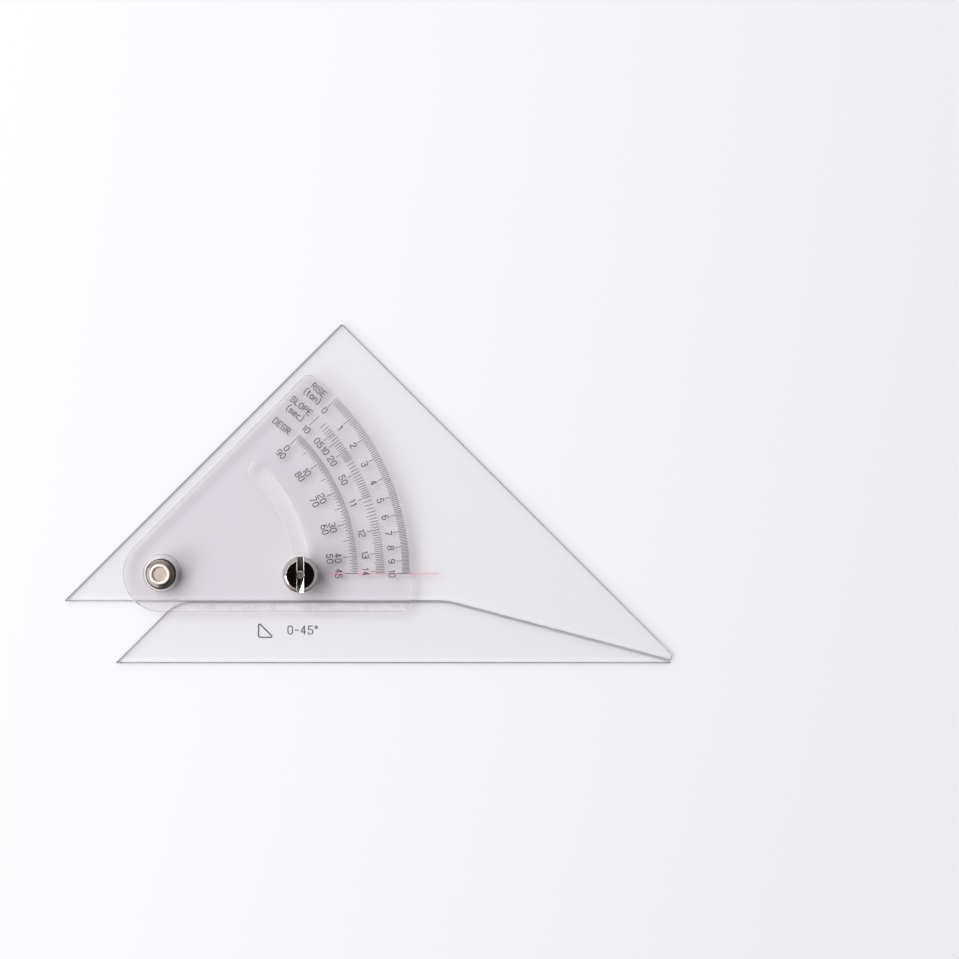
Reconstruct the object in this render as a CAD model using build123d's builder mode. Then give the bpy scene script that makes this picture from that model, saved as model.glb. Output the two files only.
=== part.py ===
from build123d import *
import math
import os

# Adjustable set square in clear acrylic. A base plate carries a protractor plate on top of it,
# a swing plate turns under that on a flush-headed post, and a screw in an arc slot clamps it.
# The origin is on the pivot axis, in the plane that the square rests on. +X runs along the
# ruling edge towards the sharp corner, +Y to the right-angled corner, +Z up to the knob.

# ---- outline of the two ruling plates, mm ----
long_leg = 152.4            # right-angled corner to sharp corner
pivot_to_slant = 15.7       # pivot axis to the swing plate's left ruling edge
pivot_to_rule = 28.6        # pivot axis to the base plate's ruling edge
pivot_to_parting = 8.9      # pivot axis to the swing plate's lower edge
kink_to_corner = 74.3       # along the ruling edge, from the parting line's bend to the sharp corner
parting_gap = 0.4
base_set_back = 25.4        # base plate's slanted end, behind the swing plate's slanted edge
kink_radius = 20.0
base_corner_radius = 11.0
tip_cut = 3.3               # how far the sharp corner is cut back
apex_cut = 0.35
plate_thickness = 2.5
plate_spacing = 0.1         # between the ruling plates and the protractor plate above them

# ---- protractor plate, mm ----
protractor_thickness = 2.5
protractor_corner_radius = 12.0
scale_radius = 78.7
scale_corner_chamfer = 1.3
swing_angle = 45.0          # full travel of the swing plate, degrees
stop_margin = 0.7           # slot beyond the screw where the swing plate is closed, degrees
open_margin = 2.0           # and where it is open
glue_inset = 0.2

# ---- pivot, mm ----
post_radius = 2.75
post_head_radius = 4.2
post_head_thickness = 1.1
pocket_radius = 6.0         # round the post's head, in the swing plate's underside
collar_radius = 4.9
collar_crown_radius = 3.9
collar_height = 2.7
collar_flange = 0.5
collar_crown_round = 0.3
post_recess = 0.65          # post's end, below the collar's crown
pivot_washer_radius = 5.2
pivot_washer_thickness = 0.15

# ---- clamp, mm ----
clamp_radius = 44.1         # pivot axis to clamp axis
thread_radius = 1.25
shoulder_radius = 2.85
screw_head_radius = 4.6
screw_head_thickness = 1.05
screw_head_recess = 0.2     # head's face, above the resting plane
shoulder_drop = 0.3         # shoulder's end, below the protractor plate's top
clamp_washer_radius = 5.3
clamp_washer_thickness = 0.5
knob_radius = 5.6
knob_height = 4.8
knob_face_radius = 4.4
knob_crown_height = 0.8
knob_foot_chamfer = 0.3
coin_slot_width = 2.3
coin_slot_depth = 1.6
screw_end_drop = 0.8        # screw's end, below the knob's face
screw_end_chamfer = 0.3

# ---- index line, mm ----
index_start = 52.7
index_end = 87.8
index_width = 0.25
index_depth = 0.15

# ---- clearances, mm ----
running_fit = 0.05          # radial, where one piece turns or slides on another
seat_fit = 0.03             # radial, where a piece is pushed on
slide_fit = 0.15            # radial, screw shoulder in its slot
lift_fit = 0.02             # axial, between faces that rub
end_float = 0.05            # axial, over the post's head

# ---- levels above the resting plane ----
plate_top = plate_thickness
protractor_bottom = plate_top + plate_spacing
protractor_top = protractor_bottom + protractor_thickness
collar_bottom = protractor_top + pivot_washer_thickness
collar_top = collar_bottom + collar_height
post_top = collar_top - post_recess
screw_head_top = screw_head_recess + screw_head_thickness
shoulder_top = protractor_top - shoulder_drop
clamp_washer_bottom = protractor_top + lift_fit
knob_bottom = clamp_washer_bottom + clamp_washer_thickness + lift_fit
knob_top = knob_bottom + knob_height
screw_top = knob_top - screw_end_drop
knob_chamfer_out = knob_radius - knob_face_radius

# ---- points of the outlines ----
rule_y = -pivot_to_rule
parting_y = -pivot_to_parting
base_top_y = parting_y - parting_gap
leg_span = long_leg / math.sqrt(2)
apex_y = rule_y + leg_span
apex_x = apex_y - pivot_to_slant * math.sqrt(2)
corner_x = apex_x + leg_span
left_x = apex_x - (apex_y - parting_y)
kink_x = corner_x - kink_to_corner
fall = math.atan2(parting_y - rule_y, kink_to_corner)
base_left_x = rule_y - apex_y + apex_x + base_set_back * math.sqrt(2)
base_shoulder_x = base_left_x + base_top_y - rule_y
base_kink_x = kink_x - parting_gap * math.tan(fall / 2)
tip_bisector = math.radians(180 - 45 / 2)


def tip_point(direction):
    """Where a ray from the sharp corner, at this angle, meets the line that cuts the corner back."""
    reach = tip_cut / math.cos(direction - tip_bisector)
    return (corner_x + reach * math.cos(direction), rule_y + reach * math.sin(direction))


def base_tip_point():
    """Where the base plate's falling edge meets the line that cuts the corner back."""
    to_kink = (base_kink_x - corner_x, base_top_y - rule_y)
    across = (math.cos(tip_bisector), math.sin(tip_bisector))
    slope = (math.cos(fall), -math.sin(fall))
    gap_left = tip_cut - (to_kink[0] * across[0] + to_kink[1] * across[1])
    along = gap_left / (slope[0] * across[0] + slope[1] * across[1])
    return (base_kink_x + along * slope[0], base_top_y + along * slope[1])


apex_left = (apex_x - apex_cut, apex_y - apex_cut)
apex_right = (apex_x + apex_cut, apex_y - apex_cut)
swing_points = [
    (left_x, parting_y),
    apex_left,
    apex_right,
    tip_point(math.radians(135)),
    tip_point(math.pi - fall),
    (kink_x, parting_y),
]
base_points = [
    (base_left_x, rule_y),
    (base_shoulder_x, base_top_y),
    (base_kink_x, base_top_y),
    base_tip_point(),
    tip_point(math.pi),
]

protractor_left = (-protractor_corner_radius / math.sqrt(2), protractor_corner_radius / math.sqrt(2))
lower_scale_angle = math.degrees(math.asin(protractor_corner_radius / scale_radius))
upper_scale_angle = 45 + lower_scale_angle
lower_scale_corner = (
    scale_radius * math.cos(math.radians(lower_scale_angle)),
    -protractor_corner_radius,
)
upper_scale_corner = (
    scale_radius * math.cos(math.radians(upper_scale_angle)),
    scale_radius * math.sin(math.radians(upper_scale_angle)),
)

os.makedirs("parts", exist_ok=True)

# ---- base plate: a long trapezium with the ruling edge at its foot ----
with BuildPart() as base_plate:
    with BuildSketch() as base_outline:
        with BuildLine():
            Polyline(*base_points, close=True)
        make_face()
        fillet(base_outline.vertices().sort_by_distance(base_points[1])[0], base_corner_radius)
        fillet(base_outline.vertices().sort_by_distance(base_points[2])[0], kink_radius)
    extrude(amount=plate_thickness)
base_plate.part.label = "base_plate"
export_step(base_plate.part, "parts/base_plate.step")

# ---- protractor plate: a sector about the pivot, with an arc slot for the clamp screw ----
with BuildSketch() as protractor_outline:
    with BuildLine():
        Line((0, -protractor_corner_radius), lower_scale_corner)
        CenterArc((0, 0), scale_radius, -lower_scale_angle, lower_scale_angle + upper_scale_angle)
        Line(upper_scale_corner, protractor_left)
        CenterArc((0, 0), protractor_corner_radius, 135, 135)
    make_face()
    for corner in (lower_scale_corner, upper_scale_corner):
        chamfer(protractor_outline.vertices().sort_by_distance(corner)[0], scale_corner_chamfer)


def arc_slot(half_width):
    """The clamp screw's path: an arc about the pivot with round ends, this far to each side."""
    with BuildLine(mode=Mode.PRIVATE) as path:
        CenterArc((0, 0), clamp_radius, -stop_margin, stop_margin + swing_angle + open_margin)
    SlotArc(path.wire(), height=2 * half_width)


with BuildPart() as protractor_plate:
    with BuildSketch(Plane.XY.offset(protractor_bottom)):
        add(protractor_outline.sketch)
    extrude(amount=protractor_thickness)
    with BuildSketch(Plane.XY.offset(protractor_bottom)):
        arc_slot(shoulder_radius + slide_fit)
    extrude(amount=protractor_thickness, mode=Mode.SUBTRACT)
    with Locations((0, 0, protractor_top)):
        Hole(radius=post_radius + seat_fit)
protractor_plate.part.label = "protractor_plate"
export_step(protractor_plate.part, "parts/protractor_plate.step")

# ---- film of cement where the protractor plate lies on the base plate ----
with BuildPart() as cement_film:
    with BuildSketch(Plane.XY.offset(plate_top)):
        add(base_outline.sketch)
        add(protractor_outline.sketch, mode=Mode.INTERSECT)
        offset(amount=-glue_inset, mode=Mode.REPLACE)
    extrude(amount=plate_spacing)
cement_film.part.label = "cement_film"
export_step(cement_film.part, "parts/cement_film.step")

# ---- swing plate, with a pocket for the post's head, a seat for the screw and an index groove ----
with BuildPart() as swing_plate:
    with BuildSketch() as swing_outline:
        with BuildLine():
            Polyline(*swing_points, close=True)
        make_face()
        fillet(swing_outline.vertices().sort_by_distance(swing_points[5])[0], kink_radius)
    extrude(amount=plate_thickness)
    with Locations(Location((0, 0, 0), (180, 0, 0))):
        CounterBoreHole(
            radius=post_radius + running_fit,
            counter_bore_radius=pocket_radius,
            counter_bore_depth=post_head_thickness + end_float,
        )
    with Locations(Location((clamp_radius, 0, 0), (180, 0, 0))):
        CounterBoreHole(
            radius=shoulder_radius + seat_fit,
            counter_bore_radius=screw_head_radius + seat_fit,
            counter_bore_depth=screw_head_top,
        )
    with BuildSketch(Plane.XY.offset(plate_top)):
        with Locations(((index_start + index_end) / 2, 0)):
            Rectangle(index_end - index_start, index_width)
    extrude(amount=-index_depth, mode=Mode.SUBTRACT)
swing_plate.part.label = "swing_plate"
export_step(swing_plate.part, "parts/swing_plate.step")

# ---- index line: ink that fills the groove, flush with the upper face ----
with BuildPart() as index_line:
    with BuildSketch(Plane.XY.offset(plate_top)):
        with Locations(((index_start + index_end) / 2, 0)):
            Rectangle(index_end - index_start, index_width)
    extrude(amount=-index_depth)
index_line.part.label = "index_line"
export_step(index_line.part, "parts/index_line.step")

# ---- pivot post: head flush with the underside, shank up into the collar ----
with BuildPart() as pivot_post:
    with BuildSketch():
        Circle(post_head_radius)
    extrude(amount=post_head_thickness)
    with BuildSketch():
        Circle(post_radius)
    extrude(amount=post_top)
pivot_post.part.label = "pivot_post"
export_step(pivot_post.part, "parts/pivot_post.step")


def write_ring(label, axis_x, bottom, thickness, outer_radius, inner_radius):
    """Makes and writes a flat ring that lies at this level, round an axis at this X."""
    with BuildPart() as ring:
        with BuildSketch(Plane.XY.offset(bottom)):
            with Locations((axis_x, 0)):
                Circle(outer_radius)
                Circle(inner_radius, mode=Mode.SUBTRACT)
        extrude(amount=thickness)
    ring.part.label = label
    export_step(ring.part, f"parts/{label}.step")


# ---- spacer rings between the plates, and the washers under the collar and the knob ----
write_ring(
    "pivot_spacer",
    axis_x=0,
    bottom=plate_top + lift_fit,
    thickness=plate_spacing - lift_fit,
    outer_radius=collar_radius,
    inner_radius=post_radius + seat_fit,
)
write_ring(
    "pivot_washer",
    axis_x=0,
    bottom=protractor_top,
    thickness=pivot_washer_thickness,
    outer_radius=pivot_washer_radius,
    inner_radius=post_radius + seat_fit,
)
write_ring(
    "clamp_spacer",
    axis_x=clamp_radius,
    bottom=plate_top,
    thickness=plate_spacing - lift_fit,
    outer_radius=clamp_washer_radius,
    inner_radius=shoulder_radius + seat_fit,
)
write_ring(
    "clamp_washer",
    axis_x=clamp_radius,
    bottom=clamp_washer_bottom,
    thickness=clamp_washer_thickness,
    outer_radius=clamp_washer_radius,
    inner_radius=thread_radius + running_fit,
)

# ---- collar: a tapered ring on the post's upper end, with a round crown ----
with BuildPart() as pivot_collar:
    with BuildSketch(Plane.XZ) as collar_section:
        with BuildLine():
            Polyline(
                (post_radius + seat_fit, collar_bottom),
                (collar_radius, collar_bottom),
                (collar_radius, collar_bottom + collar_flange),
                (collar_crown_radius, collar_top),
                (post_radius + seat_fit, collar_top),
                close=True,
            )
        make_face()
        fillet(collar_section.vertices().group_by(Axis.Y)[-1], collar_crown_round)
    revolve(axis=Axis.Z)
pivot_collar.part.label = "pivot_collar"
export_step(pivot_collar.part, "parts/pivot_collar.step")

# ---- clamp screw: head seated in the swing plate, shoulder in the slot, thread in the knob ----
with BuildPart() as clamp_screw:
    with BuildSketch(Plane.XY.offset(screw_head_recess)):
        with Locations((clamp_radius, 0)):
            Circle(screw_head_radius)
    extrude(amount=screw_head_thickness)
    with BuildSketch(Plane.XY.offset(screw_head_top)):
        with Locations((clamp_radius, 0)):
            Circle(shoulder_radius)
    extrude(amount=shoulder_top - screw_head_top)
    with BuildSketch(Plane.XY.offset(shoulder_top)):
        with Locations((clamp_radius, 0)):
            Circle(thread_radius)
    extrude(amount=screw_top - shoulder_top)
    chamfer(clamp_screw.edges().group_by(Axis.Z)[-1], screw_end_chamfer)
clamp_screw.part.label = "clamp_screw"
export_step(clamp_screw.part, "parts/clamp_screw.step")

# ---- clamp knob: a round nut with a bevelled crown and a coin slot across its face ----
with BuildPart() as clamp_knob:
    with BuildSketch(Plane.XY.offset(knob_bottom)):
        with Locations((clamp_radius, 0)):
            Circle(knob_radius)
            Circle(thread_radius + running_fit, mode=Mode.SUBTRACT)
    extrude(amount=knob_height)
    rim = clamp_knob.edges().group_by(Axis.Z)[-1].sort_by(SortBy.RADIUS)[-1]
    crown_face = clamp_knob.faces().sort_by(Axis.Z)[-1]
    chamfer(rim, length=knob_chamfer_out, length2=knob_crown_height, reference=crown_face)
    foot = clamp_knob.edges().group_by(Axis.Z)[0].sort_by(SortBy.RADIUS)[-1]
    chamfer(foot, knob_foot_chamfer)
    with BuildSketch(Plane.XY.offset(knob_top)):
        with Locations((clamp_radius, 0)):
            Rectangle(coin_slot_width, 2 * knob_radius)
    extrude(amount=-coin_slot_depth, mode=Mode.SUBTRACT)
clamp_knob.part.label = "clamp_knob"
export_step(clamp_knob.part, "parts/clamp_knob.step")
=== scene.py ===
import math

import bmesh
import bpy
import numpy as np
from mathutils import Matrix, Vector
from mathutils.geometry import delaunay_2d_cdt


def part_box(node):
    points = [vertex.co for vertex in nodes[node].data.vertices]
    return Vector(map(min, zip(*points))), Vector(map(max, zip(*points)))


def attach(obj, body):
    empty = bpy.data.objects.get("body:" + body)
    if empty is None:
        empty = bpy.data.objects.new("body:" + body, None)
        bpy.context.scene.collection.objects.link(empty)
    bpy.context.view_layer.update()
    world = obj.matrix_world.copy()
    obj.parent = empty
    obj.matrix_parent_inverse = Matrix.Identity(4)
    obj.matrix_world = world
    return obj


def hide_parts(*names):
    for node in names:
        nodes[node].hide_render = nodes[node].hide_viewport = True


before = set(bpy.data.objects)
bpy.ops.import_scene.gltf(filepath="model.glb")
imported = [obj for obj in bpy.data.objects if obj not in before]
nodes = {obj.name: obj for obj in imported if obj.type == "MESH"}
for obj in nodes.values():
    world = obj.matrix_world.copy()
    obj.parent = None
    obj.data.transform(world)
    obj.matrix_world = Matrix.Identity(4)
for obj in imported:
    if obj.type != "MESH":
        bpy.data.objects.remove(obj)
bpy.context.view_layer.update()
mm = 0.001
print("frame loaded")

# the levels that the pieces share, in millimetres, read off the frame
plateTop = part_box("swing_plate")[1].z / mm
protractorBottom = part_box("protractor_plate")[0].z / mm
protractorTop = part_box("protractor_plate")[1].z / mm
collarBottom, collarTop = (corner.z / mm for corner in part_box("pivot_collar"))
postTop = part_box("pivot_post")[1].z / mm
knobBottom, knobTop = (corner.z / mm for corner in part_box("clamp_knob"))
clampX = (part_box("clamp_knob")[0].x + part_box("clamp_knob")[1].x) / 2 / mm


def unit(vector):
    return vector / np.linalg.norm(vector)


def roundCorners(corners, closed=True, stepAngle=7.5):
    # Corners are (x, y, radius). Each becomes an arc that touches both its edges: it starts a tangent length
    # before the corner, and its normal turns by the corner's own angle. Normals point right of the travel.
    corners = np.array(corners, float)
    count = len(corners)
    points, normals = [], []
    for i in range(count):
        here, radius = corners[i, :2], corners[i, 2]
        before, after = corners[i - 1, :2], corners[(i + 1) % count, :2]
        if not closed and i in (0, count - 1):
            travel = unit(after - here) if i == 0 else unit(here - before)
            points.append([here])
            normals.append([(travel[1], -travel[0])])
            continue
        arriving, leaving = unit(here - before), unit(after - here)
        turn = math.atan2(arriving[0] * leaving[1] - arriving[1] * leaving[0], arriving @ leaving)
        side = math.copysign(1, turn)
        normal = np.array((arriving[1], -arriving[0]))
        centre = here - arriving * radius * math.tan(abs(turn) / 2) - side * radius * normal
        steps = max(2, math.ceil(abs(math.degrees(turn)) / stepAngle))
        angles = math.atan2(normal[1], normal[0]) + np.linspace(0, turn, steps + 1)
        direction = np.stack((np.cos(angles), np.sin(angles)), axis=1)
        points.append(centre + side * radius * direction)
        normals.append(direction)
    return np.concatenate(points), np.concatenate(normals)


def circlePath(radius, centreX=0.0, steps=96, hole=False):
    # A circle, counter-clockwise round material and clockwise round a hole, with normals out of the material.
    sense = -1 if hole else 1
    angles = sense * np.linspace(0, 2 * math.pi, steps, endpoint=False)
    direction = np.stack((np.cos(angles), np.sin(angles)), axis=1)
    return direction * radius + (centreX, 0), direction * sense


def newShell():
    return {"points": [], "normals": [], "faces": [], "slots": [], "count": 0}


def addPoints(shell, points, normals):
    first = shell["count"]
    shell["points"].append(points.reshape(-1, 3))
    shell["normals"].append(normals.reshape(-1, 3))
    shell["count"] += points.shape[0] * (points.shape[1] if points.ndim == 3 else 1)
    return first


def addFaces(shell, faces, slot=0):
    shell["faces"].extend(faces.tolist())
    shell["slots"].extend([slot] * len(faces))


def gridFaces(first, rows, columns, closedRows=True, closedColumns=False):
    # Quads between neighbouring rows and columns of a grid of points, numbered row by row.
    i = np.arange(rows if closedRows else rows - 1)[:, None]
    j = np.arange(columns if closedColumns else columns - 1)[None, :]
    nextI, nextJ = (i + 1) % rows, (j + 1) % columns
    quad = (i * columns + j, nextI * columns + j, nextI * columns + nextJ, i * columns + nextJ)
    return first + np.stack([np.broadcast_to(q, (i.size, j.size)) for q in quad], axis=-1).reshape(-1, 4)


def carry(shell, path, profile, slot=0, closed=False):
    # A wall: the path's point, moved along the path's normal by the profile's first number and lifted by its
    # second. Returns the numbers of the points along the profile's first and last edges.
    points, normals = path
    along, lift = profile
    grid = np.empty((len(points), len(along), 3))
    grid[..., :2] = points[:, None] + normals[:, None] * along[None, :, :1]
    grid[..., 2] = along[None, :, 1]
    facing = np.empty_like(grid)
    facing[..., :2] = normals[:, None] * lift[None, :, :1]
    facing[..., 2] = lift[None, :, 1]
    first = addPoints(shell, grid, facing)
    addFaces(shell, gridFaces(first, len(points), len(along), closedColumns=closed), slot)
    rows = first + np.arange(len(points)) * len(along)
    return rows, rows + len(along) - 1


def cap(shell, loops, up, slot=0):
    # A flat face between an outer loop of points and the loops of its holes. The points are joined into
    # Delaunay triangles, and those stay whose middle has an odd number of outline edges to its right.
    every = np.concatenate(shell["points"])
    numbers = np.concatenate(loops)
    flat = every[numbers, :2]
    starts = np.cumsum([0] + [len(loop) for loop in loops[:-1]])
    ends = [np.roll(np.arange(len(loop)), -1) + first for loop, first in zip(loops, starts)]
    edges = np.column_stack((np.arange(len(numbers)), np.concatenate(ends)))
    made = delaunay_2d_cdt([Vector(p) for p in flat], edges.tolist(), [], 0, 1e-7)
    source = np.array([found[0] for found in made[3]])
    triangles = source[np.array(made[2])]
    middle = flat[triangles].mean(axis=1)
    (startX, startY), (endX, endY) = flat[edges[:, 0]].T, flat[edges[:, 1]].T
    crossed = (startY > middle[:, 1:]) != (endY > middle[:, 1:])
    rise = np.where(startY == endY, 1, endY - startY)
    meetX = startX + (middle[:, 1:] - startY) * (endX - startX) / rise
    inside = (crossed & (meetX > middle[:, :1])).sum(axis=1) % 2 == 1
    triangles = triangles[inside]
    addFaces(shell, numbers[triangles if up else triangles[:, ::-1]], slot)


def finishShell(name, shell, materials, body, replaced=()):
    # The shell in metres as one mesh, with the worked-out normals kept on its corners.
    mesh = bpy.data.meshes.new(name)
    points = np.concatenate(shell["points"]) * mm
    mesh.from_pydata(points.tolist(), [], shell["faces"])
    for material in materials:
        mesh.materials.append(material)
    mesh.polygons.foreach_set("material_index", np.array(shell["slots"], np.int32))
    mesh.polygons.foreach_set("use_smooth", np.ones(len(mesh.polygons), bool))
    mesh.update()
    mesh.normals_split_custom_set_from_vertices(np.concatenate(shell["normals"]).tolist())
    placePiece(name, mesh, body, replaced)


def placePiece(name, mesh, body, replaced=()):
    piece = bpy.data.objects.new(name, mesh)
    bpy.context.scene.collection.objects.link(piece)
    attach(piece, body)
    if replaced:
        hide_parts(*replaced)
    print(name, len(mesh.polygons), "faces")


def newMaterial(name):
    material = bpy.data.materials.new(name)
    material.use_nodes = True
    tree = material.node_tree
    return material, tree, tree.nodes["Principled BSDF"], tree.nodes["Material Output"]


def addNode(tree, kind, **values):
    node = tree.nodes.new(kind)
    for key, value in values.items():
        if key in node.inputs:
            node.inputs[key].default_value = value
        else:
            setattr(node, key, value)
    return node


def objectPattern(tree, scale, centre=(0, 0, 0)):
    # Object coordinates in millimetres about a centre, stretched by a scale for each axis.
    place = addNode(tree, "ShaderNodeTexCoord")
    mapping = addNode(tree, "ShaderNodeMapping", vector_type="TEXTURE")
    mapping.inputs["Location"].default_value = [c * mm for c in centre]
    mapping.inputs["Scale"].default_value = [mm / s for s in scale]
    tree.links.new(place.outputs["Object"], mapping.inputs["Vector"])
    return mapping.outputs["Vector"]


clearPlateValues = dict(
    index=1.49,
    scratchScale=(0.9, 22, 1),    # fine wipe marks, long along X
    scratchDepth=0.004,           # mm
    hazeScale=0.05,               # slow change of tint, per mm
    glowWidth=2.2,                # mm
    glowGain=1.1,
    sheet=2.5,                    # mm
    rimLight=((0, 0.12), (0.17, 0.35), (0.34, 0.58), (0.5, 0.77), (0.7, 0.92), (0.9, 1)),
)


def clearPlate(name, tint, deepTint, shadowTint, glow=(), rimBottom=None):
    # Cast acrylic: smooth glass with faint wipe marks, whose tint drifts slowly across the sheet. Lamps reach
    # what is behind it through a clear shader with the share of light that each face lets by. Inside an edge
    # that faces away from the lamp, light turned back by the edge adds a brighter band: each glow is
    # (x, y, reach), the edge's outward direction and how far it lies from the pivot axis. A rim lets less
    # light by near its foot.
    v = clearPlateValues
    material, tree, glass, output = newMaterial(name)
    glass.inputs["Transmission Weight"].default_value = 1
    glass.inputs["IOR"].default_value = v["index"]
    glass.inputs["Roughness"].default_value = 0
    haze = addNode(tree, "ShaderNodeTexNoise", Scale=v["hazeScale"], Detail=2)
    tree.links.new(objectPattern(tree, (1, 1, 1)), haze.inputs["Vector"])
    tints = addNode(tree, "ShaderNodeMix", data_type="RGBA")
    tints.inputs[6].default_value = (*tint, 1)
    tints.inputs[7].default_value = (*deepTint, 1)
    tree.links.new(haze.outputs["Fac"], tints.inputs["Factor"])
    tree.links.new(tints.outputs[2], glass.inputs["Base Color"])
    marks = addNode(tree, "ShaderNodeTexNoise", Scale=1, Detail=3, Roughness=0.6)
    tree.links.new(objectPattern(tree, v["scratchScale"]), marks.inputs["Vector"])
    bump = addNode(tree, "ShaderNodeBump", Strength=0.15, Distance=v["scratchDepth"] * mm)
    tree.links.new(marks.outputs["Fac"], bump.inputs["Height"])
    tree.links.new(bump.outputs["Normal"], glass.inputs["Normal"])
    clear = addNode(tree, "ShaderNodeBsdfTransparent", Color=(*shadowTint, 1))
    bands = None
    for x, y, reach in glow:
        along = addNode(tree, "ShaderNodeVectorMath", operation="DOT_PRODUCT")
        along.inputs[1].default_value = (x, y, 0)
        tree.links.new(objectPattern(tree, (1, 1, 1)), along.inputs[0])
        band = addNode(tree, "ShaderNodeMapRange", interpolation_type="SMOOTHSTEP")
        band.inputs["From Min"].default_value = reach - v["glowWidth"]
        band.inputs["From Max"].default_value = reach - v["glowWidth"] / 2
        tree.links.new(along.outputs["Value"], band.inputs["Value"])
        if bands is not None:
            both = addNode(tree, "ShaderNodeMath", operation="MINIMUM")
            tree.links.new(bands, both.inputs[0])
            tree.links.new(band.outputs["Result"], both.inputs[1])
            bands = both.outputs[0]
        else:
            bands = band.outputs["Result"]
    if bands is not None:
        lit = addNode(tree, "ShaderNodeMix", data_type="RGBA")
        lit.inputs[6].default_value = (*shadowTint, 1)
        lit.inputs[7].default_value = (*[c * v["glowGain"] for c in shadowTint], 1)
        tree.links.new(bands, lit.inputs["Factor"])
        tree.links.new(lit.outputs[2], clear.inputs["Color"])
    if rimBottom is not None:
        height = addNode(tree, "ShaderNodeSeparateXYZ")
        tree.links.new(objectPattern(tree, (1, 1, 1), (0, 0, rimBottom)), height.inputs[0])
        share = addNode(tree, "ShaderNodeMapRange")
        share.inputs["From Max"].default_value = v["sheet"]
        ramp = addNode(tree, "ShaderNodeValToRGB")
        elements = ramp.color_ramp.elements
        for position, amount in v["rimLight"][1:-1]:
            elements.new(position)
        for element, (position, amount) in zip(elements, v["rimLight"]):
            element.position, element.color = position, (*[c * amount for c in shadowTint], 1)
        tree.links.new(height.outputs["Z"], share.inputs["Value"])
        tree.links.new(share.outputs["Result"], ramp.inputs["Fac"])
        tree.links.new(ramp.outputs["Color"], clear.inputs["Color"])
    path = addNode(tree, "ShaderNodeLightPath")
    either = addNode(tree, "ShaderNodeMath", operation="MAXIMUM")
    mix = addNode(tree, "ShaderNodeMixShader")
    tree.links.new(path.outputs["Is Shadow Ray"], either.inputs[0])
    tree.links.new(path.outputs["Is Diffuse Ray"], either.inputs[1])
    tree.links.new(either.outputs[0], mix.inputs["Fac"])
    tree.links.new(glass.outputs["BSDF"], mix.inputs[1])
    tree.links.new(clear.outputs["BSDF"], mix.inputs[2])
    tree.links.new(mix.outputs["Shader"], output.inputs["Surface"])
    return material


def contactFace():
    # Where cement wets both plates there is no boundary left to see, only the odd speck of trapped air.
    material, tree, principled, output = newMaterial("wettedContact")
    tree.nodes.remove(principled)
    specks = addNode(tree, "ShaderNodeTexNoise", Scale=0.6, Detail=4)
    tree.links.new(objectPattern(tree, (1, 1, 1)), specks.inputs["Vector"])
    ramp = addNode(tree, "ShaderNodeValToRGB")
    ramp.color_ramp.elements[0].position = 0.2
    ramp.color_ramp.elements[0].color = (0.96, 0.95, 0.96, 1)
    ramp.color_ramp.elements[1].position = 0.6
    ramp.color_ramp.elements[1].color = (1, 0.995, 1, 1)
    tree.links.new(specks.outputs["Fac"], ramp.inputs["Fac"])
    clear = addNode(tree, "ShaderNodeBsdfTransparent")
    tree.links.new(ramp.outputs["Color"], clear.inputs["Color"])
    tree.links.new(clear.outputs["BSDF"], output.inputs["Surface"])
    return material


def turnedMetal(name, colour, duller, roughness, grooves, depth, centreX=0.0, brushed=None):
    # Metal off a lathe: rings about the piece's axis, or straight brush lines, in its height, gloss and
    # colour.
    material, tree, metal = newMaterial(name)[:3]
    metal.inputs["Metallic"].default_value = 1
    if brushed:
        marks = addNode(tree, "ShaderNodeTexNoise", Scale=1, Detail=4, Roughness=0.65)
        tree.links.new(objectPattern(tree, brushed, (centreX, 0, 0)), marks.inputs["Vector"])
    else:
        place = objectPattern(tree, (1, 1, 1), (centreX, 0, 0))
        flat = addNode(tree, "ShaderNodeVectorMath", operation="MULTIPLY")
        flat.inputs[1].default_value = (1, 1, 0)
        length = addNode(tree, "ShaderNodeVectorMath", operation="LENGTH")
        height = addNode(tree, "ShaderNodeSeparateXYZ")
        across = addNode(tree, "ShaderNodeMath", operation="ADD")
        tree.links.new(place, flat.inputs[0])
        tree.links.new(flat.outputs[0], length.inputs[0])
        tree.links.new(place, height.inputs[0])
        tree.links.new(length.outputs["Value"], across.inputs[0])
        tree.links.new(height.outputs["Z"], across.inputs[1])
        marks = addNode(tree, "ShaderNodeTexNoise", noise_dimensions="1D", Scale=1, Detail=4,
                        Roughness=0.65)
        scaled = addNode(tree, "ShaderNodeMath", operation="MULTIPLY")
        scaled.inputs[1].default_value = grooves
        tree.links.new(across.outputs[0], scaled.inputs[0])
        tree.links.new(scaled.outputs[0], marks.inputs["W"])
    tone = addNode(tree, "ShaderNodeValToRGB")
    tone.color_ramp.elements[0].position = 0.3
    tone.color_ramp.elements[0].color = (*duller, 1)
    tone.color_ramp.elements[1].position = 0.7
    tone.color_ramp.elements[1].color = (*colour, 1)
    tree.links.new(marks.outputs["Fac"], tone.inputs["Fac"])
    tree.links.new(tone.outputs["Color"], metal.inputs["Base Color"])
    gloss = addNode(tree, "ShaderNodeMapRange")
    gloss.inputs["To Min"].default_value = roughness[0]
    gloss.inputs["To Max"].default_value = roughness[1]
    tree.links.new(marks.outputs["Fac"], gloss.inputs["Value"])
    tree.links.new(gloss.outputs["Result"], metal.inputs["Roughness"])
    bump = addNode(tree, "ShaderNodeBump", Strength=1, Distance=depth * mm)
    tree.links.new(marks.outputs["Fac"], bump.inputs["Height"])
    tree.links.new(bump.outputs["Normal"], metal.inputs["Normal"])
    return material


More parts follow.
